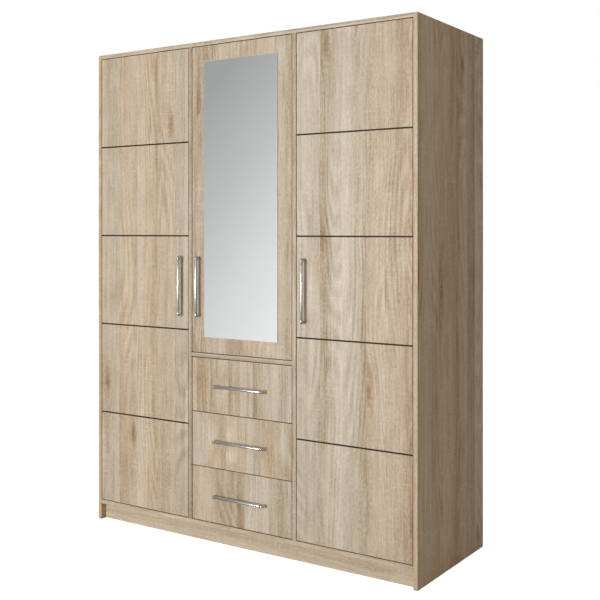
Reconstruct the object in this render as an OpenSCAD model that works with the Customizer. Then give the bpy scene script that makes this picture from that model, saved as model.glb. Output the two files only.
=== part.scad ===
// Three-column wardrobe with inset fronts: a tall door on each side and, in the middle,
// a mirror door above three drawers. Millimetres, +Z up, the front faces -Y, and the
// origin lies on the floor under the middle of the outer box.

/* [Carcass] */
// Outer width
carcass_w = 1500; // [1200:10:1800]
// Height from the floor to the top face
carcass_h = 2000; // [1650:10:2400]
// Depth from the front edges to the back face
carcass_d = 600; // [480:10:720]
// Thickness of the laminated boards
board_t = 16; // [13:0.5:20]
// Thickness of the hardboard back panels and drawer bottoms
hardboard_t = 3; // [2.5:0.5:4]
// Height of the plinth under the bottom panel
plinth_h = 68; // [50:1:100]
// Distance of the front plinth behind the front edges
plinth_setback = 28; // [10:1:60]

/* [Fronts] */
// Gap around each door and drawer front
front_gap = 3; // [2:0.5:4]
// Distance of the front faces behind the carcass edges
front_setback = 1; // [0:0.5:3]
// Number of dark strips in each tall door
strip_count = 4; // [1:1:8]
// Height of a strip
strip_h = 6; // [3:0.5:12]
// Depth of a strip in the door
strip_depth = 2; // [1:0.5:4]
// Width of the plain border around the mirror
mirror_margin = 61.5; // [20:0.5:100]
// Thickness of the mirror
mirror_t = 4; // [3:0.5:6]

/* [Handles] */
// Overall length of a handle
handle_l = 250; // [120:5:320]
// Diameter of the bar
handle_bar_d = 12; // [8:0.5:14]
// Wall of an end cap around the bar
handle_cap_wall = 1; // [0.5:0.25:2]
// Length of an end cap
handle_cap_l = 18; // [15:0.5:25]
// Diameter of the posts
handle_post_d = 9; // [6:0.5:9]
// Distance from a handle's end to the middle of its post
handle_post_inset = 8; // [6:0.5:12]
// Distance from the front's face to the bar's axis
handle_stand = 22; // [18:1:35]
// Distance from a door's free edge to its handle
handle_inset = 34; // [25:1:60]
// Height of the middle of the door handles above the floor
handle_z = 1020; // [920:5:1200]

/* [Drawers] */
// Number of drawers
drawer_count = 3; // [3:1:3]
// Height of the underside of the shelf above the drawers
drawer_shelf_z = 739; // [650:1:860]
// Height of the drawer sides
drawer_side_h = 150; // [80:1:180]
// Thickness of the drawer sides and backs
drawer_side_t = 12; // [10:0.5:16]
// Distance from a front's lower edge to the drawer sides
drawer_lift = 25; // [20:1:30]
// Width of the space for a runner on each side
runner_gap = 13; // [12:0.5:16]

/* [Interior] */
// Distance of the loose shelves behind the front edges
shelf_setback = 32; // [30:1:80]
// Space above the hat shelf
hat_space = 300; // [200:5:400]
// Distance from the hat shelf down to the rail's axis
rail_drop = 55; // [40:1:80]
// Diameter of the hanging rail
rail_d = 25; // [20:0.5:30]
// Wall of the hanging rail
rail_wall = 1.2; // [0.8:0.1:2]

/* [Hinges] */
// Diameter of the hinge cups
cup_d = 35; // [34:0.5:36]
// Depth of the hinge cups in the door
cup_depth = 11.5; // [10.5:0.1:12]
// Distance from the door's edge to the middle of a cup
cup_inset = 22; // [21.5:0.1:23]
// Distance from a door's end to its first hinge
hinge_end = 100; // [80:5:150]

/* [Hidden] */
$fn = 64;

// Colours
oak = [0.79, 0.71, 0.60];
oak_dark = [0.66, 0.55, 0.42];
hardboard = [0.86, 0.80, 0.70];
strip_colour = [0.22, 0.19, 0.18];
steel = [0.78, 0.79, 0.80];
zinc = [0.70, 0.71, 0.72];
plastic = [0.93, 0.93, 0.91];
glass = [0.80, 0.84, 0.86];

// Main planes
handle_cap_d = handle_bar_d + 2 * handle_cap_wall;
handle_reach = handle_stand + handle_cap_d / 2 - front_setback;
front_y = (handle_reach - carcass_d) / 2;
back_y = front_y + carcass_d;
board_back_y = back_y - hardboard_t;
board_depth = board_back_y - front_y;
face_y = front_y + front_setback;
inside_y = face_y + board_t;
side_x = carcass_w / 2 - board_t;
floor_z = plinth_h + board_t;
ceiling_z = carcass_h - board_t;

// Three equal compartments between the sides and the two dividers
column_w = (2 * side_x - 2 * board_t) / 3;
divider_x = column_w / 2;
column_x = [-side_x, -divider_x, divider_x + board_t];
front_w = column_w - 2 * front_gap;

// Doors
door_z = floor_z + front_gap;
door_h = ceiling_z - front_gap - door_z;
mirror_door_z = drawer_shelf_z + board_t + front_gap;
mirror_door_h = ceiling_z - front_gap - mirror_door_z;
strip_pitch = door_h / (strip_count + 1);
left_door_x = column_x[0] + front_gap;
right_door_x = column_x[2] + front_gap;
mirror_door_x = column_x[1] + front_gap;

// Drawers
drawer_front_h = (drawer_shelf_z - floor_z - (drawer_count + 1) * front_gap) / drawer_count;
box_w = column_w - 2 * runner_gap;
runner_step = 50;
runner_rear_space = 40;
box_l = runner_step * floor((board_back_y - inside_y - runner_rear_space) / runner_step);
base_lift = 8;
groove_depth = 4;
groove_play = 0.2;
function drawer_z(k) = door_z + k * (drawer_front_h + front_gap);
function box_z(k) = drawer_z(k) + drawer_lift;

// Runners: a rolled channel on the divider and a rolled angle under the drawer side
runner_t = 1.2;
runner_start = 2;
channel_h = 36;
channel_flange = runner_gap - 3;
channel_mid = 12;
rear_roller_d = 20;
front_roller_d = 18;
roller_play = 0.3;
roller_side_play = 0.2;
roller_end = 12;
front_roller_y = 18;
front_roller_z = -4;
angle_foot = 9;
rail_flange = runner_gap - 2.5;

// Shelves and their pins
shelf_play = 0.8;
shelf_y = front_y + shelf_setback;
pin_d = 5;
pin_play = 0.1;
pin_hole_depth = 7;
pin_head_d = 7;
pin_head_l = 9;
pin_pitch = 32;
pin_rows = [shelf_y + 45, board_back_y - 60];
hat_z = ceiling_z - hat_space - board_t;
middle_space = ceiling_z - drawer_shelf_z - board_t;
middle_step = (middle_space - 2 * board_t) / 3 + board_t;
middle_z = [for (i = [1, 2]) drawer_shelf_z + i * middle_step];
right_step = (ceiling_z - floor_z - 3 * board_t) / 4 + board_t;
right_z = [for (i = [1, 2, 3]) plinth_h + i * right_step];
rail_z = hat_z - rail_drop;
rail_y = (inside_y + board_back_y) / 2;
socket_base_t = 3;
socket_base_d = 44;
socket_d = 32;
socket_l = 12;
socket_play = 0.1;

// Hinges, as distances from the door's hinge edge and from its front face
tall_hinges = [for (i = [0 : 3]) door_z + hinge_end + i * (door_h - 2 * hinge_end) / 3];
mirror_hinges = [for (i = [0 : 2])
    mirror_door_z + hinge_end + i * (mirror_door_h - 2 * hinge_end) / 2];
cup_wall = 1;
cup_play = 0.05;
flange_t = 1;
flange_d = cup_d + 3;
ear_l = 54;
ear_w = 14;
arm_w = 11;
arm_rise = 0.5;
arm_end = 80;

// Back panels
back_gap = 0.8;
back_margin = 2;
back_z = plinth_h + back_margin;
back_h = carcass_h - back_margin - back_z;

// ---- helpers ----

// A board with its lower front left corner at a point
module board(at, size) {
    translate(at) cube(size);
}

// A cylinder along X that starts at a point and runs towards +X
module rod_x(at, d, l) {
    translate(at) rotate([0, 90, 0]) cylinder(d = d, h = l);
}

// A cylinder along Y that starts at a point and runs towards +Y
module rod_y(at, d, l) {
    translate(at) rotate([-90, 0, 0]) cylinder(d = d, h = l);
}

// Children on both sides of the middle plane
module both_sides() {
    children();
    mirror([1, 0, 0]) children();
}

// Hinge frame of a door: origin at its front corner, X across the door, +Y to the back
module at_hinges(x, heights, mirrored) {
    for (z = heights) translate([x, face_y, z]) {
        if (mirrored) mirror([1, 0, 0]) children();
        else children();
    }
}

// Pin holes beside the given shelves, drilled from the face at x towards +X or -X
module pin_holes(x, heights, towards) {
    start = towards > 0 ? x : x - pin_hole_depth;
    for (z = heights, y = pin_rows, step = [-1 : 1])
        rod_x([start, y, z - pin_head_d / 2 + step * pin_pitch], pin_d, pin_hole_depth);
}

// The four pins of each shelf in a column
module pins(x, heights) {
    stem_d = pin_d - pin_play;
    stem_l = pin_hole_depth - 0.5;
    for (z = heights, y = pin_rows) {
        pin_z = z - pin_head_d / 2 - pin_play / 2;
        rod_x([x - stem_l, y, pin_z], stem_d, stem_l);
        rod_x([x, y, pin_z], pin_head_d, pin_head_l);
        rod_x([x + column_w, y, pin_z], stem_d, stem_l);
        rod_x([x + column_w - pin_head_l, y, pin_z], pin_head_d, pin_head_l);
    }
}

module loose_shelf(x, z) {
    color(oak) board([x + shelf_play, shelf_y, z],
        [column_w - 2 * shelf_play, board_back_y - shelf_y, board_t]);
}

// Handle along X about its own middle, on a front face at y = 0
socket_depth = handle_cap_l / 2;
bar_play = 0.1;

module handle_bar() {
    bar_l = handle_l - 2 * (handle_cap_l - socket_depth);
    color(steel) rod_x([-bar_l / 2, -handle_stand, 0], handle_bar_d, bar_l);
}

module handle_posts() {
    cap_start = handle_l / 2 - handle_cap_l;
    dome_r = handle_cap_d / 2;
    post_x = handle_l / 2 - handle_post_inset;
    color(steel) both_sides() difference() {
        union() {
            rod_x([cap_start, -handle_stand, 0], handle_cap_d, handle_cap_l - dome_r);
            translate([handle_l / 2 - dome_r, -handle_stand, 0]) sphere(d = handle_cap_d);
            rod_y([post_x, -handle_stand, 0], handle_post_d, handle_stand);
        }
        rod_x([cap_start - 1, -handle_stand, 0], handle_bar_d + bar_play, socket_depth + 1);
    }
}

// Handle positions
module at_door_handle(x) {
    translate([x, face_y, handle_z]) rotate([0, 90, 0]) children();
}

module at_drawer_handle(k) {
    translate([0, face_y, drawer_z(k) + drawer_front_h / 2]) children();
}

left_handle_x = left_door_x + front_w - handle_inset;
right_handle_x = right_door_x + handle_inset;
mirror_handle_x = mirror_door_x + handle_inset;

// ---- carcass ----

module left_side() {
    color(oak) difference() {
        board([-carcass_w / 2, front_y, 0], [board_t, board_depth, carcass_h]);
        pin_holes(-side_x, [hat_z], -1);
    }
}

module right_side() {
    color(oak) difference() {
        board([side_x, front_y, 0], [board_t, board_depth, carcass_h]);
        pin_holes(side_x, right_z, 1);
    }
}

module divider_board(x) {
    board([x, front_y, floor_z], [board_t, board_depth, ceiling_z - floor_z]);
}

module left_divider() {
    color(oak) difference() {
        divider_board(-divider_x - board_t);
        pin_holes(-divider_x - board_t, [hat_z], 1);
        pin_holes(-divider_x, middle_z, -1);
    }
}

module right_divider() {
    color(oak) difference() {
        divider_board(divider_x);
        pin_holes(divider_x, middle_z, 1);
        pin_holes(divider_x + board_t, right_z, -1);
    }
}

module top_panel() {
    color(oak) board([-side_x, front_y, ceiling_z], [2 * side_x, board_depth, board_t]);
}

module bottom_panel() {
    color(oak) board([-side_x, front_y, plinth_h], [2 * side_x, board_depth, board_t]);
}

module front_plinth() {
    color(oak_dark)
        board([-side_x, front_y + plinth_setback, 0], [2 * side_x, board_t, plinth_h]);
}

module rear_plinth() {
    color(oak_dark)
        board([-side_x, board_back_y - board_t, 0], [2 * side_x, board_t, plinth_h]);
}

// Back panel between two x values, nailed to the rear edges
module back_panel(x0, x1) {
    color(hardboard) board([x0, board_back_y, back_z], [x1 - x0, hardboard_t, back_h]);
}

back_joint_x = divider_x + board_t / 2;

module left_back() {
    back_panel(back_margin - carcass_w / 2, -back_joint_x - back_gap / 2);
}

module middle_back() {
    back_panel(-back_joint_x + back_gap / 2, back_joint_x - back_gap / 2);
}

module right_back() {
    back_panel(back_joint_x + back_gap / 2, carcass_w / 2 - back_margin);
}

module drawer_shelf() {
    color(oak) board([-divider_x, front_y, drawer_shelf_z], [column_w, board_depth, board_t]);
}

// ---- interior ----

module hat_shelf() { loose_shelf(column_x[0], hat_z); }
module middle_lower_shelf() { loose_shelf(column_x[1], middle_z[0]); }
module middle_upper_shelf() { loose_shelf(column_x[1], middle_z[1]); }
module right_lower_shelf() { loose_shelf(column_x[2], right_z[0]); }
module right_middle_shelf() { loose_shelf(column_x[2], right_z[1]); }
module right_upper_shelf() { loose_shelf(column_x[2], right_z[2]); }

module shelf_pins() {
    color(zinc) {
        pins(column_x[0], [hat_z]);
        pins(column_x[1], middle_z);
        pins(column_x[2], right_z);
    }
}

module hanging_rail() {
    end_play = socket_base_t + 0.5;
    rail_l = column_w - 2 * end_play;
    color(steel) difference() {
        rod_x([column_x[0] + end_play, rail_y, rail_z], rail_d, rail_l);
        rod_x([column_x[0] + end_play - 1, rail_y, rail_z], rail_d - 2 * rail_wall, rail_l + 2);
    }
}

// Socket on a face at x = 0, facing +X
module rail_socket() {
    difference() {
        union() {
            rod_x([0, 0, 0], socket_base_d, socket_base_t);
            rod_x([0, 0, 0], socket_d, socket_base_t + socket_l);
        }
        rod_x([socket_base_t, 0, 0], rail_d + socket_play, socket_l + 1);
    }
}

module rail_sockets() {
    color(zinc) {
        translate([column_x[0], rail_y, rail_z]) rail_socket();
        translate([column_x[0] + column_w, rail_y, rail_z]) mirror([1, 0, 0]) rail_socket();
    }
}

// ---- hinges ----

module hinge_plate() {
    plate_w = 18;
    plate_start = 32;
    wing_l = 50;
    wing_t = 2;
    translate([-front_gap, plate_start, -plate_w / 2])
        cube([front_gap + arm_rise, arm_end - plate_start - 4, plate_w]);
    translate([-front_gap, plate_start + 8, -wing_l / 2]) cube([wing_t, 12, wing_l]);
}

// Cranked arm whose nose reaches into the cup. Every point keeps clear of the cup and of
// the door's rear corner while the door turns about its front corner.
module hinge_arm() {
    b = board_t;
    linear_extrude(height = arm_w, center = true) polygon([
        [arm_rise, arm_end], [arm_rise, b + 3.5], [4, b + 2.6], [8, b + 1.3], [12, b - 1.2],
        [16, b - 5.5], [19, b - 8], [24, b - 8], [25, b - 4], [20, b + 2], [12, b + 5],
        [9, b + 10], [9, arm_end]
    ]);
}

module hinge_cup() {
    translate([cup_inset, 0, 0]) difference() {
        union() {
            rod_y([0, board_t - cup_depth, 0], cup_d - 2 * cup_play, cup_depth);
            rod_y([0, board_t, 0], flange_d, flange_t);
            translate([-ear_w / 2, board_t, -ear_l / 2]) cube([ear_w, flange_t, ear_l]);
        }
        rod_y([0, board_t - cup_depth + cup_wall, 0], cup_d - 2 * (cup_play + cup_wall),
            cup_depth + flange_t);
    }
}

module cup_bore() {
    rod_y([cup_inset, board_t - cup_depth, 0], cup_d, cup_depth + 1);
}

module all_hinges() {
    at_hinges(left_door_x, tall_hinges, false) children();
    at_hinges(mirror_door_x + front_w, mirror_hinges, true) children();
    at_hinges(right_door_x + front_w, tall_hinges, true) children();
}

module hinge_plates() { color(zinc) all_hinges() hinge_plate(); }
module hinge_arms() { color(steel) all_hinges() hinge_arm(); }

// ---- doors ----

module door_board(x, z, h) {
    board([x, face_y, z], [front_w, board_t, h]);
}

module strips(x) {
    for (i = [1 : strip_count])
        board([x, face_y, door_z + i * strip_pitch - strip_h / 2],
            [front_w, strip_depth, strip_h]);
}

module left_door_panel() {
    color(oak) difference() {
        door_board(left_door_x, door_z, door_h);
        strips(left_door_x);
        at_hinges(left_door_x, tall_hinges, false) cup_bore();
    }
}

module left_door_strips() { color(strip_colour) strips(left_door_x); }
module left_door_handle_bar() { at_door_handle(left_handle_x) handle_bar(); }
module left_door_handle_posts() { at_door_handle(left_handle_x) handle_posts(); }

module left_door_hinge_cups() {
    color(zinc) at_hinges(left_door_x, tall_hinges, false) hinge_cup();
}

module right_door_panel() {
    color(oak) difference() {
        door_board(right_door_x, door_z, door_h);
        strips(right_door_x);
        at_hinges(right_door_x + front_w, tall_hinges, true) cup_bore();
    }
}

module right_door_strips() { color(strip_colour) strips(right_door_x); }
module right_door_handle_bar() { at_door_handle(right_handle_x) handle_bar(); }
module right_door_handle_posts() { at_door_handle(right_handle_x) handle_posts(); }

module right_door_hinge_cups() {
    color(zinc) at_hinges(right_door_x + front_w, tall_hinges, true) hinge_cup();
}

module mirror_door_panel() {
    color(oak) difference() {
        door_board(mirror_door_x, mirror_door_z, mirror_door_h);
        at_hinges(mirror_door_x + front_w, mirror_hinges, true) cup_bore();
    }
}

module mirror_glass() {
    color(glass) board(
        [mirror_door_x + mirror_margin, face_y - mirror_t, mirror_door_z + mirror_margin],
        [front_w - 2 * mirror_margin, mirror_t, mirror_door_h - 2 * mirror_margin]);
}

module mirror_door_handle_bar() { at_door_handle(mirror_handle_x) handle_bar(); }
module mirror_door_handle_posts() { at_door_handle(mirror_handle_x) handle_posts(); }

module mirror_door_hinge_cups() {
    color(zinc) at_hinges(mirror_door_x + front_w, mirror_hinges, true) hinge_cup();
}

// ---- drawers ----

// Space that a drawer's base takes in the grooves around it
module base_groove(k) {
    inner_w = box_w - 2 * drawer_side_t;
    board([-inner_w / 2 - groove_depth, inside_y - groove_depth, box_z(k) + base_lift],
        [inner_w + 2 * groove_depth, box_l + groove_depth + 1, hardboard_t + groove_play]);
}

module drawer_front(k) {
    color(oak) difference() {
        door_board(-front_w / 2, drawer_z(k), drawer_front_h);
        base_groove(k);
    }
}

module drawer_sides(k) {
    color(oak) difference() {
        both_sides() board([box_w / 2 - drawer_side_t, inside_y, box_z(k)],
            [drawer_side_t, box_l, drawer_side_h]);
        base_groove(k);
    }
}

module drawer_back(k) {
    inner_w = box_w - 2 * drawer_side_t;
    lift = base_lift + hardboard_t + groove_play;
    color(oak) board([-inner_w / 2, inside_y + box_l - drawer_side_t, box_z(k) + lift],
        [inner_w, drawer_side_t, drawer_side_h - lift]);
}

module drawer_base(k) {
    inner_w = box_w - 2 * drawer_side_t;
    reach = groove_depth - groove_play;
    color(hardboard) board([-inner_w / 2 - reach, inside_y - reach, box_z(k) + base_lift],
        [inner_w + 2 * reach, box_l + reach, hardboard_t]);
}

// The runner pieces have x = 0 at the drawer side and z = 0 at the middle of the channel.
// Channel screwed to the divider
module channel() {
    start = inside_y + runner_start;
    bottom = -channel_h / 2;
    board([runner_gap - runner_t, start, bottom], [runner_t, box_l, channel_h]);
    for (flange_z = [bottom, bottom + channel_h - runner_t])
        board([runner_gap - channel_flange, start, flange_z],
            [channel_flange, box_l, runner_t]);
}

// Roller at the front of the channel
module front_roller() {
    rod_x([runner_gap - channel_flange, inside_y + runner_start + front_roller_y, front_roller_z],
        front_roller_d, channel_flange - runner_t - roller_side_play);
}

// Angle that carries the drawer side and rides on the front roller
module angle_rail() {
    start = inside_y + runner_start;
    length = box_l - 2 * runner_start;
    flange_z = front_roller_z + front_roller_d / 2 + roller_play;
    foot_z = -channel_mid - runner_t;
    board([0, start, foot_z], [runner_t, length, flange_z + runner_t - foot_z]);
    board([0, start, flange_z], [rail_flange, length, runner_t]);
    board([-angle_foot, start, foot_z], [angle_foot, length, runner_t]);
}

// Roller at the rear end of the angle, which runs in the channel
module rear_roller() {
    roller_z = -channel_h / 2 + runner_t + roller_play + rear_roller_d / 2;
    rod_x([runner_t + roller_side_play, inside_y + box_l - runner_start - roller_end, roller_z],
        rear_roller_d, channel_flange - runner_t - roller_side_play);
}

module at_runners(k) {
    both_sides() translate([box_w / 2, 0, box_z(k) + channel_mid]) children();
}

module cabinet_runners() {
    for (k = [0 : drawer_count - 1]) at_runners(k) {
        color(zinc) channel();
        color(plastic) front_roller();
    }
}

module drawer_runners(k) {
    at_runners(k) {
        color(zinc) angle_rail();
        color(plastic) rear_roller();
    }
}

module bottom_drawer_front() { drawer_front(0); }
module bottom_drawer_sides() { drawer_sides(0); }
module bottom_drawer_back() { drawer_back(0); }
module bottom_drawer_base() { drawer_base(0); }
module bottom_drawer_runners() { drawer_runners(0); }
module bottom_drawer_handle_bar() { at_drawer_handle(0) handle_bar(); }
module bottom_drawer_handle_posts() { at_drawer_handle(0) handle_posts(); }

module middle_drawer_front() { drawer_front(1); }
module middle_drawer_sides() { drawer_sides(1); }
module middle_drawer_back() { drawer_back(1); }
module middle_drawer_base() { drawer_base(1); }
module middle_drawer_runners() { drawer_runners(1); }
module middle_drawer_handle_bar() { at_drawer_handle(1) handle_bar(); }
module middle_drawer_handle_posts() { at_drawer_handle(1) handle_posts(); }

module top_drawer_front() { drawer_front(2); }
module top_drawer_sides() { drawer_sides(2); }
module top_drawer_back() { drawer_back(2); }
module top_drawer_base() { drawer_base(2); }
module top_drawer_runners() { drawer_runners(2); }
module top_drawer_handle_bar() { at_drawer_handle(2) handle_bar(); }
module top_drawer_handle_posts() { at_drawer_handle(2) handle_posts(); }

// ---- drawing ----

left_side();
right_side();
left_divider();
right_divider();
top_panel();
bottom_panel();
front_plinth();
rear_plinth();
left_back();
middle_back();
right_back();
drawer_shelf();
hat_shelf();
middle_lower_shelf();
middle_upper_shelf();
right_lower_shelf();
right_middle_shelf();
right_upper_shelf();
shelf_pins();
hanging_rail();
rail_sockets();
hinge_plates();
hinge_arms();
cabinet_runners();
left_door_panel();
left_door_strips();
left_door_handle_bar();
left_door_handle_posts();
left_door_hinge_cups();
right_door_panel();
right_door_strips();
right_door_handle_bar();
right_door_handle_posts();
right_door_hinge_cups();
mirror_door_panel();
mirror_glass();
mirror_door_handle_bar();
mirror_door_handle_posts();
mirror_door_hinge_cups();
bottom_drawer_front();
bottom_drawer_sides();
bottom_drawer_back();
bottom_drawer_base();
bottom_drawer_runners();
bottom_drawer_handle_bar();
bottom_drawer_handle_posts();
middle_drawer_front();
middle_drawer_sides();
middle_drawer_back();
middle_drawer_base();
middle_drawer_runners();
middle_drawer_handle_bar();
middle_drawer_handle_posts();
top_drawer_front();
top_drawer_sides();
top_drawer_back();
top_drawer_base();
top_drawer_runners();
top_drawer_handle_bar();
top_drawer_handle_posts();
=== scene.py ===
import math
import random

import bmesh
import bpy
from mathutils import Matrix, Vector


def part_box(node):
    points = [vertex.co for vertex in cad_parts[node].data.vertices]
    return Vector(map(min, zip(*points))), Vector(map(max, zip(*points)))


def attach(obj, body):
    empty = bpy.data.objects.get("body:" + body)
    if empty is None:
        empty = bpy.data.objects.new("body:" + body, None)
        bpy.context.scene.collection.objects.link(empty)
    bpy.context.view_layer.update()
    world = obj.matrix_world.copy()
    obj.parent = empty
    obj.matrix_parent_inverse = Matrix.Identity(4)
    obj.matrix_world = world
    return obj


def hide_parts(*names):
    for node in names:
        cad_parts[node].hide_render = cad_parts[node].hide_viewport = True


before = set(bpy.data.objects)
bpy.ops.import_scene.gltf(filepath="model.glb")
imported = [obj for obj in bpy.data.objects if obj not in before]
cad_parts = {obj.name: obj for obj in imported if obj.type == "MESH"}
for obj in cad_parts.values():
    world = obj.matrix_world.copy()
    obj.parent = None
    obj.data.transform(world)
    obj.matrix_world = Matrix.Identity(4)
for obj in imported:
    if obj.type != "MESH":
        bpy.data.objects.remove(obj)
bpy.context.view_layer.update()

MM = 0.001
random.seed(7)

# Where the object is, from the frame
FRONT_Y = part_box("right_side")[0].y


# ---- camera, light and stage ----

CAMERA_SIDE = 2.2265      # to the right of the middle
CAMERA_AWAY = 3.1403      # in front of the carcass edges
CAMERA_HEIGHT = 1.243
CAMERA_TURN = math.radians(35.46)
LENS = 59.39              # on a sensor 36 wide
SHIFT = (0.1033, -0.115)


def make_camera():
    data = bpy.data.cameras.new("camera")
    data.lens = LENS
    data.sensor_width = 36
    data.shift_x, data.shift_y = SHIFT
    camera = bpy.data.objects.new("camera", data)
    camera.location = (CAMERA_SIDE, FRONT_Y - CAMERA_AWAY, CAMERA_HEIGHT)
    camera.rotation_euler = (math.pi / 2, 0, CAMERA_TURN)
    bpy.context.scene.collection.objects.link(camera)
    bpy.context.scene.camera = camera


def area_light(name, place, target, size, watts, colour=(1, 1, 1)):
    data = bpy.data.lights.new(name, "AREA")
    data.shape = "SQUARE"
    data.size = size
    data.energy = watts
    data.color = colour
    light = bpy.data.objects.new(name, data)
    light.location = place
    light.rotation_euler = (Vector(target) - Vector(place)).to_track_quat("-Z", "Y").to_euler()
    bpy.context.scene.collection.objects.link(light)
    return light


GLOW_DROP = math.radians(20)   # the middle of the studio's wide light, below the horizon
GLOW_WIDTH = 60                # degrees from its middle to the dim surroundings


class Shader:
    """The nodes of one material, made and linked by short calls. A value is a number, a
    colour or the socket of another node."""

    def __init__(self, name, tree=None):
        if tree is None:
            self.material = bpy.data.materials.new(name)
            self.material.use_nodes = True
            tree = self.material.node_tree
            self.surface = tree.nodes["Principled BSDF"]
        self.tree = tree

    def node(self, kind, **settings):
        node = self.tree.nodes.new("ShaderNode" + kind)
        for key, value in settings.items():
            setattr(node, key, value)
        return node

    def put(self, socket, value):
        if isinstance(value, bpy.types.NodeSocket):
            self.tree.links.new(value, socket)
        elif isinstance(value, (tuple, list)) and len(value) == 3 and socket.type == "RGBA":
            socket.default_value = (*value, 1)
        else:
            socket.default_value = value

    def math(self, operation, *values, clamp=False):
        node = self.node("Math", operation=operation, use_clamp=clamp)
        for socket, value in zip(node.inputs, values):
            self.put(socket, value)
        return node.outputs[0]

    def add(self, *values):
        total = values[0]
        for value in values[1:]:
            total = self.math("ADD", total, value)
        return total

    def times(self, a, b):
        return self.math("MULTIPLY", a, b)

    def fit(self, value, low, high, to_low=0.0, to_high=1.0, smooth=False):
        node = self.node("MapRange")
        if smooth:
            node.interpolation_type = "SMOOTHSTEP"
        for socket, number in zip(node.inputs, (value, low, high, to_low, to_high)):
            self.put(socket, number)
        return node.outputs[0]

    def vector(self, x, y, z=0.0):
        node = self.node("CombineXYZ")
        for socket, value in zip(node.inputs, (x, y, z)):
            self.put(socket, value)
        return node.outputs[0]

    def split(self, vector):
        node = self.node("SeparateXYZ")
        self.put(node.inputs[0], vector)
        return node.outputs

    def noise(self, vector, scale=1.0, detail=2.0, roughness=0.5, flat=True):
        node = self.node("TexNoise", noise_dimensions="2D" if flat else "3D")
        self.put(node.inputs["Vector"], vector)
        node.inputs["Scale"].default_value = scale
        node.inputs["Detail"].default_value = detail
        node.inputs["Roughness"].default_value = roughness
        return node.outputs["Fac"]

    def mix(self, factor, a, b, mode="MIX"):
        node = self.node("Mix", data_type="RGBA", blend_type=mode)
        self.put(node.inputs["Factor"], factor)
        self.put(node.inputs[6], a)
        self.put(node.inputs[7], b)
        return node.outputs[2]

    def ramp(self, factor, *stops):
        node = self.node("ValToRGB")
        elements = node.color_ramp.elements
        for element, (position, colour) in zip(elements, (stops[0], stops[-1])):
            element.position = position
            element.color = (*colour, 1)
        for position, colour in stops[1:-1]:
            elements.new(position).color = (*colour, 1)
        self.put(node.inputs[0], factor)
        return node.outputs[0]

    def bump(self, height, strength, distance):
        node = self.node("Bump")
        node.inputs["Strength"].default_value = strength
        node.inputs["Distance"].default_value = distance
        self.put(node.inputs["Height"], height)
        self.put(self.surface.inputs["Normal"], node.outputs[0])

    def finish(self, **values):
        for name, value in values.items():
            self.put(self.surface.inputs[name.replace("_", " ")], value)
        return self.material


def make_world():
    """White surroundings for the camera and even dim light for matt surfaces. The mirror and
    the metal reflect a grey studio with one wide light low in front of the object."""
    world = bpy.data.worlds.new("studio")
    world.use_nodes = True
    tree = world.node_tree
    tree.nodes.clear()
    s = Shader("studio", tree)
    out = s.node("OutputWorld")
    glow = (0, -math.cos(GLOW_DROP), -math.sin(GLOW_DROP))
    dot = s.node("VectorMath", operation="DOT_PRODUCT")
    s.put(dot.inputs[0], s.node("TexCoord").outputs["Generated"])
    dot.inputs[1].default_value = glow
    angle = s.times(s.math("ARCCOSINE", dot.outputs["Value"]), 180 / math.pi)
    seen = s.ramp(s.math("DIVIDE", angle, GLOW_WIDTH),
        (0.0, (0.98,) * 3), (34 / GLOW_WIDTH, (0.98,) * 3), (38 / GLOW_WIDTH, (0.80,) * 3),
        (42 / GLOW_WIDTH, (0.58,) * 3), (46 / GLOW_WIDTH, (0.41,) * 3),
        (1.0, (0.27, 0.27, 0.27)))
    rays = s.node("LightPath")
    light = s.mix(rays.outputs["Is Glossy Ray"], (0.31, 0.31, 0.31), seen)
    light = s.mix(rays.outputs["Is Camera Ray"], light, (1.0, 1.0, 1.0))
    background = s.node("Background")
    s.put(background.inputs[0], light)
    s.put(out.inputs[0], background.outputs[0])
    bpy.context.scene.world = world


def make_floor():
    """A pale studio floor that ends just behind the camera. Its glow, which only the camera
    sees, brings it close to the white surroundings."""
    mesh = bpy.data.meshes.new("floor")
    left, right, near, far = -14, 14, FRONT_Y - 5, 16
    mesh.from_pydata([(left, near, 0), (right, near, 0), (right, far, 0), (left, far, 0)],
                     [], [(0, 1, 2, 3)])
    floor = bpy.data.objects.new("floor", mesh)
    bpy.context.scene.collection.objects.link(floor)
    s = Shader("floor")
    speck = s.noise(s.node("TexCoord").outputs["Object"], scale=30, detail=3, flat=False)
    colour = s.ramp(speck, (0.3, (0.40, 0.40, 0.40)), (0.7, (0.44, 0.44, 0.44)))
    seen = s.node("LightPath").outputs["Is Camera Ray"]
    floor.data.materials.append(s.finish(Base_Color=colour, Roughness=0.9,
                                         Emission_Color=(1, 1, 1),
                                         Emission_Strength=s.times(seen, 0.92)))


def make_lights():
    middle = (0, FRONT_Y, 1.0)
    area_light("key", (-0.9, FRONT_Y - 7, 1.3), middle, 1.6, 305)
    area_light("top", (0, FRONT_Y - 4, 5.5), (0, FRONT_Y + 0.2, 0), 3.0, 15)
    for x in (8, -8):
        area_light("side", (x, FRONT_Y + 1.5, 1.6), middle, 3.0, 48, (1, 0.93, 0.80))
    area_light("back", (-0.8, 7, 2.6), middle, 3.0, 190)


# ---- materials ----

# Nails of the back panels
NAIL_INSET = 7 * MM
NAIL_PITCH = 120 * MM
NAIL_RADIUS = 1.6 * MM


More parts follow.
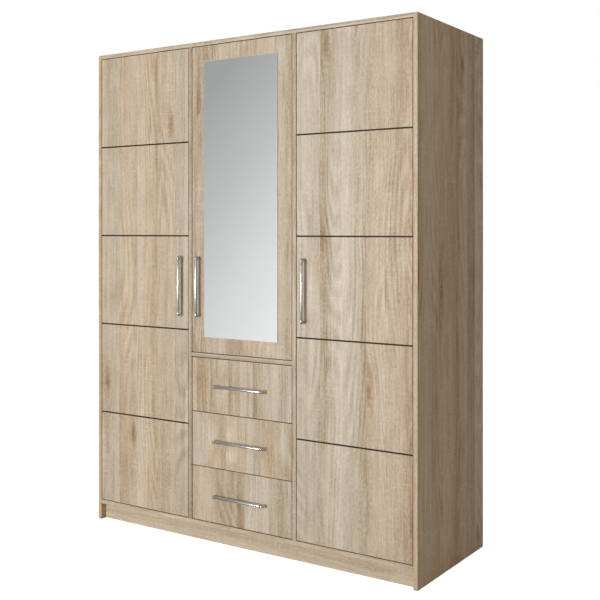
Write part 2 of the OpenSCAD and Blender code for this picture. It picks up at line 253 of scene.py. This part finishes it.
def board_coordinates(s, thickness, grain, shift):
    """(across, along) in metres on every face of a board whose thickness and grain lie
    along the given axes: on an edge the grain runs with the edge's long side."""
    coords = s.node("TexCoord")
    place = dict(zip("xyz", s.split(coords.outputs["Object"])))
    normal = dict(zip("xyz", s.split(coords.outputs["Normal"])))
    cross = ({"x", "y", "z"} - {thickness, grain}).pop()
    long_edge = s.math("GREATER_THAN", s.math("ABSOLUTE", normal[cross]), 0.7)
    end_edge = s.math("GREATER_THAN", s.math("ABSOLUTE", normal[grain]), 0.7)
    edge = s.math("MAXIMUM", long_edge, end_edge)
    across = s.add(place[cross],
                   s.times(edge, s.math("SUBTRACT", place[thickness], place[cross])))
    along = s.add(place[grain],
                  s.times(end_edge, s.math("SUBTRACT", place[cross], place[grain])))
    return s.add(across, shift[0]), s.add(along, shift[1])


def oak(name, thickness, grain, side_shade_tint=0.0, lift=0.0):
    """Pale limed oak laminate: planks of differing tone that often meet in a sharp step,
    wavy streaks, growth rings that bend round knots, dark lines and faint saw marks."""
    s = Shader(name)
    shift = (random.uniform(5, 60), random.uniform(5, 60))
    u, v = board_coordinates(s, thickness, grain, shift)

    # Planks, each with its own tone, slope of tone and stretch of the pattern
    sway = s.times(s.math("SUBTRACT", s.noise(s.vector(s.times(u, 1.5), s.times(v, 0.7))), 0.5),
                   0.02)
    planks = s.node("TexVoronoi", voronoi_dimensions="1D", feature="F1")
    plank_at = s.add(u, sway)
    s.put(planks.inputs["W"], plank_at)
    planks.inputs["Scale"].default_value = 10.5
    plank_tone, plank_shift, plank_tint = s.split(planks.outputs["Color"])
    from_middle = s.math("SUBTRACT", plank_at, planks.outputs["W"])
    slope = s.times(s.times(from_middle, s.math("SUBTRACT", plank_shift, 0.5)), 6)
    v = s.add(v, s.times(plank_shift, 9))

    # Knots push the grain aside
    knot_at = s.vector(s.times(u, 5.5), s.times(v, 1.3))
    knot = s.node("TexVoronoi", voronoi_dimensions="2D", feature="F1")
    s.put(knot.inputs["Vector"], knot_at)
    knot.inputs["Scale"].default_value = 1.0
    is_knot = s.fit(s.split(knot.outputs["Color"])[0], 0.72, 0.80)
    near_knot = s.math("POWER", knot.outputs["Distance"], 2)
    spread = s.math("EXPONENT", s.times(near_knot, -22))
    from_knot = s.math("SUBTRACT", s.split(knot_at)[0], s.split(knot.outputs["Position"])[0])
    push = s.times(s.times(s.times(from_knot, spread), is_knot), -0.16)

    wave = s.math("SUBTRACT", s.noise(s.vector(s.times(u, 9), s.times(v, 4.5)), detail=3), 0.5)
    wide_wave = s.math("SUBTRACT", s.noise(s.vector(s.times(u, 2.5), s.times(v, 0.8))), 0.5)
    bent = s.add(u, push, s.times(wave, 0.011), s.times(wide_wave, 0.05))

    def grain_noise(across, along, detail=2.0, roughness=0.5):
        return s.noise(s.vector(s.times(bent, across), s.times(v, along)), detail=detail,
                       roughness=roughness)

    broad = grain_noise(11, 0.5)
    medium = grain_noise(40, 0.8, 3)
    fine = grain_noise(170, 6, 3, 0.65)
    flecks = grain_noise(190, 75, 2, 0.6)
    pores = grain_noise(900, 38, 1)
    blotch = s.noise(s.vector(s.times(bent, 25), s.times(v, 9)), detail=3)
    rings = s.math("SINE", s.times(grain_noise(3.4, 0.55, 1), 170))
    ring_place = s.fit(grain_noise(5, 1.1, 1), 0.46, 0.60, smooth=True)
    vein = s.math("ABSOLUTE", s.math("SUBTRACT", grain_noise(26, 0.5, 1), 0.5))
    veins = s.fit(vein, 0.0, 0.022, 1, 0)
    vein_place = s.fit(grain_noise(6, 0.9, 1), 0.5, 0.62)
    core = s.times(s.math("EXPONENT", s.times(near_knot, -260)), is_knot)
    halo = s.times(spread, is_knot)
    saw = s.fit(s.noise(s.vector(s.times(u, 6), s.times(v, 150)), detail=1), 0.55, 0.72)
    saw_place = s.fit(s.noise(s.vector(s.times(u, 7), s.times(v, 3.1)), detail=1), 0.54, 0.66)

    def part(value, middle, weight):
        return s.times(s.math("SUBTRACT", value, middle), weight)

    # Painted light where lift is given: the whole board's tone is raised, to brighten the
    # plinths in their shade.
    tone = s.add(0.545 + lift, part(plank_tone, 0.5, 0.17), slope, part(broad, 0.5, 0.42),
                 part(medium, 0.5, 0.42), part(fine, 0.5, 0.55), part(flecks, 0.5, 0.50),
                 part(pores, 0.5, 0.2), part(blotch, 0.5, 0.30),
                 s.times(s.times(rings, ring_place), 0.10),
                 s.times(s.times(veins, vein_place), -0.20),
                 s.times(halo, -0.16), s.times(core, -0.35),
                 s.times(s.times(saw, saw_place), 0.13))
    colour = s.ramp(tone,
        (0.0, (0.30, 0.195, 0.10)), (0.3, (0.455, 0.34, 0.21)), (0.55, (0.60, 0.49, 0.355)),
        (0.8, (0.70, 0.61, 0.485)), (1.0, (0.80, 0.73, 0.62)))
    tint = s.fit(s.add(plank_tint, part(broad, 0.5, 1.0), part(blotch, 0.5, 0.8)), 0.0, 1.0)
    colour = s.mix(s.times(tint, 0.55), colour, (0.99, 0.89, 0.81), "MULTIPLY")
    colour = s.mix(s.times(s.math("SUBTRACT", 1, tint), 0.75), colour, (0.90, 0.93, 0.97),
                   "MULTIPLY")
    # Painted shade: the outer sides get a warmer, darker tint in their oak, the colour their
    # faces show in shade.
    if side_shade_tint:
        colour = s.mix(side_shade_tint, colour, (1.0, 0.80, 0.58), "MULTIPLY")
    s.bump(s.add(fine, s.times(pores, 0.6), s.times(saw, 0.3)), 0.25, 0.0004)
    return s.finish(Base_Color=colour, Roughness=s.fit(fine, 0.3, 0.7, 0.52, 0.42))


def fibre_board(name, nailed=None):
    """Hardboard: pale lacquer over pressed fibres. A nailed panel, given by its box, has a
    row of small nail heads along each upright edge."""
    s = Shader(name)
    place = s.node("TexCoord").outputs["Object"]
    cloud = s.noise(place, 5, 3, flat=False)
    fibre = s.noise(place, 420, 3, 0.7, flat=False)
    colour = s.ramp(s.add(s.times(cloud, 0.5), s.times(fibre, 0.5)),
        (0.3, (0.46, 0.36, 0.25)), (0.5, (0.54, 0.43, 0.31)), (0.7, (0.60, 0.50, 0.37)))
    height, metal_part, roughness = fibre, 0.0, 0.62
    if nailed:
        low, high = nailed
        x, _, z = s.split(place)
        to_edge = s.math("MINIMUM", s.math("SUBTRACT", x, low.x), s.math("SUBTRACT", high.x, x))
        beside = s.math("SUBTRACT", to_edge, NAIL_INSET)
        step = s.math("FRACT", s.times(s.math("SUBTRACT", z, low.z), 1 / NAIL_PITCH))
        above = s.times(s.math("SUBTRACT", step, 0.5), NAIL_PITCH)
        away = s.math("SQRT", s.add(s.times(beside, beside), s.times(above, above)))
        head = s.fit(away, NAIL_RADIUS, NAIL_RADIUS * 0.8)
        colour = s.mix(head, colour, (0.55, 0.55, 0.54))
        metal_part = head
        roughness = s.fit(head, 0, 1, 0.62, 0.35)
        height = s.add(fibre, s.times(s.fit(away, NAIL_RADIUS * 1.4, NAIL_RADIUS), -3))
    s.bump(height, 0.3, 0.0003)
    return s.finish(Base_Color=colour, Roughness=roughness, Metallic=metal_part)


def wenge():
    """The dark strips: almost black wood print with fine lines along the strip."""
    s = Shader("dark_strip")
    x, y, z = s.split(s.node("TexCoord").outputs["Object"])
    line = s.noise(s.vector(s.times(x, 9), s.times(z, 900)), detail=3)
    colour = s.ramp(line, (0.3, (0.015, 0.009, 0.006)), (0.7, (0.040, 0.026, 0.019)))
    s.bump(line, 0.2, 0.0002)
    return s.finish(Base_Color=colour, Specular_IOR_Level=0.25,
                    Roughness=s.fit(line, 0.3, 0.7, 0.62, 0.5))


def metal(name, colour, roughness, along="z", brush=0.06):
    """Metal with brush lines along an axis and faint clouds from handling."""
    s = Shader(name)
    place = s.split(s.node("TexCoord").outputs["Object"])
    stretch = [4 if axis == along else 1600 for axis in "xyz"]
    lines = s.noise(s.vector(*[s.times(p, k) for p, k in zip(place, stretch)]), detail=2,
                    flat=False)
    cloud = s.noise(s.vector(*place), 18, 2, flat=False)
    shade = s.add(s.times(lines, 0.6), s.times(cloud, 0.4))
    dark = tuple(c * 0.82 for c in colour)
    tone = s.ramp(shade, (0.3, dark), (0.7, colour))
    s.bump(lines, 0.12, 0.0001)
    low, high = roughness - brush, roughness + brush
    return s.finish(Base_Color=tone, Metallic=1.0, Roughness=s.fit(shade, 0.3, 0.7, low, high))


def plastic(name, colour, roughness=0.42):
    s = Shader(name)
    place = s.node("TexCoord").outputs["Object"]
    grain = s.noise(place, 900, 2, flat=False)
    cloud = s.noise(place, 25, 2, flat=False)
    shade = s.add(s.times(grain, 0.4), s.times(cloud, 0.6))
    tone = s.ramp(shade, (0.3, tuple(c * 0.92 for c in colour)), (0.7, colour))
    s.bump(grain, 0.15, 0.0001)
    return s.finish(Base_Color=tone, Roughness=roughness)


def mirror_silver():
    """Silvered glass, with the faint haze that a wiped mirror keeps."""
    s = Shader("mirror_silver")
    place = s.node("TexCoord").outputs["Object"]
    haze = s.noise(place, 6, 3, flat=False)
    tone = s.ramp(haze, (0.3, (0.86, 0.87, 0.87)), (0.7, (0.88, 0.89, 0.89)))
    return s.finish(Base_Color=tone, Metallic=1.0, Roughness=s.fit(haze, 0.4, 0.7, 0.008, 0.02))


def glass_edge():
    """The ground edge of the mirror: pale grey-green, frosted."""
    s = Shader("mirror_edge")
    place = s.node("TexCoord").outputs["Object"]
    frost = s.noise(place, 1500, 2, flat=False)
    tone = s.ramp(frost, (0.3, (0.52, 0.60, 0.57)), (0.7, (0.66, 0.72, 0.69)))
    s.bump(frost, 0.2, 0.0001)
    return s.finish(Base_Color=tone, Roughness=0.3)


# ---- CAD boards ----

UPRIGHT = ["left_side", "right_side", "left_divider", "right_divider"]
LEVEL = ["top_panel", "bottom_panel", "drawer_shelf", "hat_shelf", "middle_lower_shelf",
         "middle_upper_shelf", "right_lower_shelf", "right_middle_shelf", "right_upper_shelf"]
FRONTS = ["left_door_panel", "mirror_door_panel", "right_door_panel", "bottom_drawer_front",
          "middle_drawer_front", "top_drawer_front"]
PLINTHS = ["front_plinth", "rear_plinth"]
BACKS = ["left_back", "middle_back", "right_back"]
DOORS = ["left_door", "mirror_door", "right_door"]
DRAWERS = ["bottom_drawer", "middle_drawer", "top_drawer"]


def finish_node(name, material, radius):
    """Gives a CAD node its material and softens its edges."""
    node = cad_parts[name]
    node.data.materials.clear()
    node.data.materials.append(material)
    weld = node.modifiers.new("weld", "WELD")
    weld.merge_threshold = 0.00001
    bevel = node.modifiers.new("bevel", "BEVEL")
    bevel.width = radius * MM
    bevel.segments = 2
    bevel.limit_method = "ANGLE"
    bevel.angle_limit = math.radians(40)
    bevel.harden_normals = True


SIDE_SHADE_TINT = 0.60          # painted shade: how far the outer sides' oak is tinted warmer and darker, as their shaded faces look


def finish_boards():
    for name in UPRIGHT:
        # The outer sides take the painted shade tint; the dividers do not.
        finish_node(name, oak("oak_" + name, "x", "z", side_shade_tint=SIDE_SHADE_TINT * ("side" in name)), 0.8)
    for name in LEVEL:
        finish_node(name, oak("oak_" + name, "z", "x"), 0.8)
    for name in FRONTS:
        finish_node(name, oak("oak_" + name, "y", "z"), 0.8)
    for name in PLINTHS:
        # Painted light: the plinths' oak is made paler, brightening the plinths that sit in
        # shade under the bottom panel.
        finish_node(name, oak("oak_" + name, "y", "x", lift=0.20), 0.8)
    for name in BACKS:
        finish_node(name, fibre_board("hardboard_" + name, nailed=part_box(name)), 0.3)
    for drawer in DRAWERS:
        finish_node(drawer + "_sides", oak("oak_" + drawer + "_sides", "x", "y"), 0.6)
        finish_node(drawer + "_back", oak("oak_" + drawer + "_back", "y", "x"), 0.6)
        finish_node(drawer + "_base", fibre_board("hardboard_" + drawer), 0.3)
    strip = wenge()
    for door in ("left_door", "right_door"):
        finish_node(door + "_strips", strip, 0.3)


# ---- mesh building ----

class Shape:
    """Closed solids gathered in one mesh. Sizes and places are in metres."""

    def __init__(self):
        self.mesh = bmesh.new()

    def skin(self, rings):
        """A closed solid through rings of points, each ring with the same number."""
        rows = [[self.mesh.verts.new(point) for point in ring] for ring in rings]
        faces = [self.mesh.faces.new(rows[0][::-1]), self.mesh.faces.new(rows[-1])]
        for low, high in zip(rows, rows[1:]):
            for i in range(len(low)):
                j = (i + 1) % len(low)
                faces.append(self.mesh.faces.new((low[i], low[j], high[j], high[i])))
        return faces

    def swept(self, path, side, count=32):
        """A round solid along a flat path of (place, direction, radius). side is the
        direction square to the path's plane."""
        rings = []
        for place, direction, radius in path:
            up = Vector(side)
            across = up.cross(direction).normalized()
            rings.append([place + radius * (math.cos(a) * across + math.sin(a) * up)
                          for a in (math.tau * i / count for i in range(count))])
        return self.skin(rings)

    def turned(self, start, axis, outline, count=32):
        """A turned solid: outline holds (distance along the axis, radius)."""
        axis = Vector(axis)
        return self.swept([(start + axis * along, axis, radius) for along, radius in outline],
                          axis.orthogonal().normalized(), count)

    def screw(self, place, axis, radius=3.2 * MM, height=1.0 * MM):
        """A flat-domed screw head with a cross recess, standing on a surface."""
        axis = Vector(axis)
        right = axis.orthogonal().normalized()
        up = axis.cross(right)

        def circle(r, lift):
            return [place + axis * lift + r * (math.cos(a) * right + math.sin(a) * up)
                    for a in (math.tau * i / 24 for i in range(24))]

        arm, half = radius * 0.62, radius * 0.16
        quarter = [(arm, 0), (arm, half), (half * 2.5, half), (half, half),
                   (half, half * 2.5), (half, arm)]
        cross = []
        for turn in range(4):
            c, d = round(math.cos(math.pi / 2 * turn)), round(math.sin(math.pi / 2 * turn))
            cross += [(c * x - d * y, d * x + c * y) for x, y in quarter]

        def recess(lift, share):
            return [place + axis * lift + share * (x * right + y * up) for x, y in cross]

        self.skin([circle(radius, -0.2 * MM), circle(radius, height * 0.35),
                   circle(radius * 0.93, height * 0.7), circle(radius * 0.75, height),
                   recess(height, 1.0), recess(height * 0.2, 0.7)])

    def slab(self, low, high):
        """A plain block, for a piece whose bevels come next."""
        corners = [(low.x, low.y), (high.x, low.y), (high.x, high.y), (low.x, high.y)]
        return self.skin([[Vector((x, y, z)) for x, y in corners] for z in (low.z, high.z)])

    def piece(self, name, body, materials, replaced=(), smooth=True):
        bmesh.ops.recalc_face_normals(self.mesh, faces=self.mesh.faces)
        data = bpy.data.meshes.new(name)
        self.mesh.to_mesh(data)
        self.mesh.free()
        for material in materials:
            data.materials.append(material)
        made = bpy.data.objects.new(name, data)
        bpy.context.scene.collection.objects.link(made)
        if smooth:
            for polygon in data.polygons:
                polygon.use_smooth = True
            data.set_sharp_from_angle(angle=math.radians(35))
        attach(made, body)
        if replaced:
            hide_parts(*replaced)
        return made


def solids(node):
    """The boxes (low, high) of the separate solids in a CAD node."""
    mesh = bmesh.new()
    mesh.from_mesh(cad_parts[node].data)
    bmesh.ops.remove_doubles(mesh, verts=mesh.verts, dist=0.00001)
    left = set(mesh.verts)
    boxes = []
    while left:
        reached, edge_of_search = set(), [left.pop()]
        while edge_of_search:
            vert = edge_of_search.pop()
            reached.add(vert)
            for edge in vert.link_edges:
                other = edge.other_vert(vert)
                if other in left:
                    left.discard(other)
                    edge_of_search.append(other)
        low = Vector([min(v.co[k] for v in reached) for k in range(3)])
        high = Vector([max(v.co[k] for v in reached) for k in range(3)])
        boxes.append((low, high))
    mesh.free()
    return sorted(boxes, key=lambda box: tuple(round(c, 4) for c in box[0]))


# ---- mirror ----

def make_mirror():
    """The pane, with ground and slightly rounded edges."""
    shape = Shape()
    low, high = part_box("mirror_glass")
    shape.slab(low, high)
    bmesh.ops.bevel(shape.mesh, geom=list(shape.mesh.edges), offset=1.3 * MM, segments=3,
                    profile=0.6, affect="EDGES")
    shape.mesh.normal_update()
    for face in shape.mesh.faces:
        face.material_index = 0 if abs(face.normal.y) > 0.999 else 1
    shape.piece("mirror_pane", "mirror_door",
                [mirror_silver(), glass_edge()], ["mirror_glass"], smooth=False)


# ---- handles ----

POST_RADIUS = 4.5 * MM
FOOT_RADIUS = 6.2 * MM


BEND_STEPS = 11


def casting_path(mouth, corner, out, length, stand, cap_radius):
    """The (place, direction, radius) path of one casting: from its mouth along the bar,
    round the corner and to the front. out points along the bar, away from its middle."""
    to_front = Vector((0, 1, 0))
    bend = cap_radius * 1.15
    path = [(mouth + out * 1.2 * MM, out, cap_radius - 1.3 * MM),
            (mouth, out, cap_radius - 0.75 * MM),
            (mouth + out * 0.15 * MM, out, cap_radius - 0.2 * MM),
            (mouth + out * 0.6 * MM, out, cap_radius),
            (mouth + out * (length * 0.35), out, cap_radius)]
    for i in range(1, BEND_STEPS + 1):
        turn = math.pi / 2 * i / BEND_STEPS
        place = corner + out * (bend * (math.sin(turn) - 1)) \
            + to_front * (bend * (1 - math.cos(turn)))
        direction = (out * math.cos(turn) + to_front * math.sin(turn)).normalized()
        radius = cap_radius + (POST_RADIUS - cap_radius) * (i / BEND_STEPS) ** 1.5
        path.append((place, direction, radius))
    for along, radius in ((0.70, POST_RADIUS), (0.86, POST_RADIUS * 1.06),
                          (0.93, FOOT_RADIUS * 0.88), (0.97, FOOT_RADIUS),
                          (0.995, FOOT_RADIUS), (1.0, FOOT_RADIUS - 0.3 * MM)):
        path.append((corner + to_front * stand * along, to_front, radius))
    return path


def make_castings(body, material):
    """The two end castings of a door's or drawer's handle. Each is a socket for the bar
    that bends into a post and spreads into a foot on the front."""
    shape = Shape()
    bar_low, bar_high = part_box(body + "_handle_bar")
    middle = (bar_low + bar_high) / 2
    upright = bar_high.z - bar_low.z > bar_high.x - bar_low.x
    for low, high in solids(body + "_handle_posts"):
        out = Vector((0, 0, 1) if upright else (1, 0, 0))
        if ((low + high) / 2 - middle).dot(out) < 0:
            out = -out
        cap_radius = (high.x - low.x if upright else high.z - low.z) / 2
        length = abs((high - low).dot(out))
        to_end = max((high - middle).dot(out), (low - middle).dot(out))
        end = middle + out * to_end
        corner = end - out * (cap_radius + 0.2 * MM)
        path = casting_path(end - out * length, corner, out, length, high.y - middle.y,
                            cap_radius)
        shape.swept(path, out.cross(Vector((0, 1, 0))))
    shape.piece(body + "_handle_castings", body, [material],
                [body + "_handle_posts"])


# ---- fittings ----

ARM_FACE = 8.5 * MM       # from the hinge-side edge of an arm to the face with its screws
WING_FACE = 2 * MM        # thickness of a mounting plate's wings
WING_MIDDLE = 14 * MM     # from a plate's front end to the middle of its wings
CHANNEL_LEAST = 100 * MM  # a solid longer than this is a channel or angle, not a roller


def make_hinge_screws(material):
    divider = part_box("left_divider")[0].x
    shape = Shape()
    for low, high in solids("hinge_arms"):
        inwards = 1 if high.x < divider else -1
        x = low.x + ARM_FACE if inwards > 0 else high.x - ARM_FACE
        z = (low.z + high.z) / 2
        for back_by in (12 * MM, 34 * MM):
            shape.screw(Vector((x, high.y - back_by, z)), (inwards, 0, 0), 3.6 * MM, 1.2 * MM)
    for low, high in solids("hinge_plates"):
        inwards = 1 if high.x < divider else -1
        x = low.x + WING_FACE if inwards > 0 else high.x - WING_FACE
        y = low.y + WING_MIDDLE
        for z in (low.z + 7 * MM, high.z - 7 * MM):
            shape.screw(Vector((x, y, z)), (inwards, 0, 0), 3.8 * MM, 1.0 * MM)
    shape.piece("hinge_screws", "carcass", [material])
    for door in DOORS:
        shape = Shape()
        for low, high in solids(door + "_hinge_cups"):
            x = (low.x + high.x) / 2
            for z in (low.z + 4.8 * MM, high.z - 4.8 * MM):
                shape.screw(Vector((x, high.y, z)), (0, 1, 0), 3.4 * MM, 0.9 * MM)
        shape.piece(door + "_cup_screws", door, [material])


def make_runner_details(steel):
    """Screws in the channels and rivets in the rollers."""
    rivet = [(-0.2 * MM, 3.4 * MM), (0.25 * MM, 3.4 * MM), (0.6 * MM, 2.6 * MM),
             (0.75 * MM, 1.0 * MM)]
    shape = Shape()
    for low, high in solids("cabinet_runners"):
        outwards = 1 if low.x > 0 else -1
        middle = (low + high) / 2
        if high.y - low.y > CHANNEL_LEAST:
            x = (high.x if outwards > 0 else low.x) - outwards * 1.2 * MM
            for share in (0.08, 0.45, 0.86):
                y = low.y + (high.y - low.y) * share
                shape.screw(Vector((x, y, middle.z)), (-outwards, 0, 0), 3.6 * MM, 0.9 * MM)
        else:
            x = low.x if outwards > 0 else high.x
            shape.turned(Vector((x, middle.y, middle.z)), (-outwards, 0, 0), rivet, 24)
    shape.piece("runner_screws", "carcass", [steel])
    for drawer in DRAWERS:
        shape = Shape()
        for low, high in solids(drawer + "_runners"):
            if high.y - low.y > CHANNEL_LEAST:
                continue
            outwards = 1 if low.x > 0 else -1
            middle = (low + high) / 2
            x = high.x if outwards > 0 else low.x
            shape.turned(Vector((x, middle.y, middle.z)), (outwards, 0, 0), rivet, 24)
        shape.piece(drawer + "_roller_rivets", drawer, [steel])


def make_socket_screws(material):
    shape = Shape()
    for low, high in solids("rail_sockets"):
        middle = (low + high) / 2
        inwards = 1 if low.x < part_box("hanging_rail")[0].x else -1
        x = low.x + 3 * MM if inwards > 0 else high.x - 3 * MM
        for side in (-1, 1):
            shape.screw(Vector((x, middle.y, middle.z + side * 19 * MM)), (inwards, 0, 0),
                        2.6 * MM, 0.8 * MM)
    shape.piece("rail_socket_screws", "carcass", [material])


def finish_metal():
    """Materials of the metal CAD nodes, and the pieces made here."""
    bar = metal("satin_steel_upright", (0.80, 0.80, 0.79), 0.27, along="z")
    level_bar = metal("satin_steel_level", (0.80, 0.80, 0.79), 0.27, along="x")
    casting = metal("handle_casting", (0.62, 0.60, 0.59), 0.34)
    hinge = metal("hinge_nickel", (0.74, 0.73, 0.71), 0.42)
    chrome = metal("chrome_tube", (0.83, 0.84, 0.85), 0.08, along="x", brush=0.02)
    nickel = metal("nickel", (0.72, 0.70, 0.67), 0.25)
    steel = metal("zinc_screws", (0.66, 0.67, 0.68), 0.32)
    enamel = plastic("runner_enamel", (0.80, 0.80, 0.78), 0.35)
    for name in DOORS:
        finish_node(name + "_handle_bar", bar, 0.3)
        finish_node(name + "_hinge_cups", hinge, 0.25)
        make_castings(name, casting)
    for name in DRAWERS:
        finish_node(name + "_handle_bar", level_bar, 0.3)
        finish_node(name + "_runners", enamel, 0.2)
        make_castings(name, casting)
    finish_node("hinge_plates", hinge, 0.4)
    finish_node("hinge_arms", hinge, 0.6)
    finish_node("cabinet_runners", enamel, 0.2)
    finish_node("shelf_pins", nickel, 0.4)
    finish_node("hanging_rail", chrome, 0.2)
    finish_node("rail_sockets", nickel, 0.6)
    make_hinge_screws(steel)
    make_runner_details(steel)
    make_socket_screws(steel)


bpy.context.scene.view_settings.view_transform = "Standard"
make_camera()
make_world()
make_floor()
make_lights()
finish_boards()
make_mirror()
finish_metal()
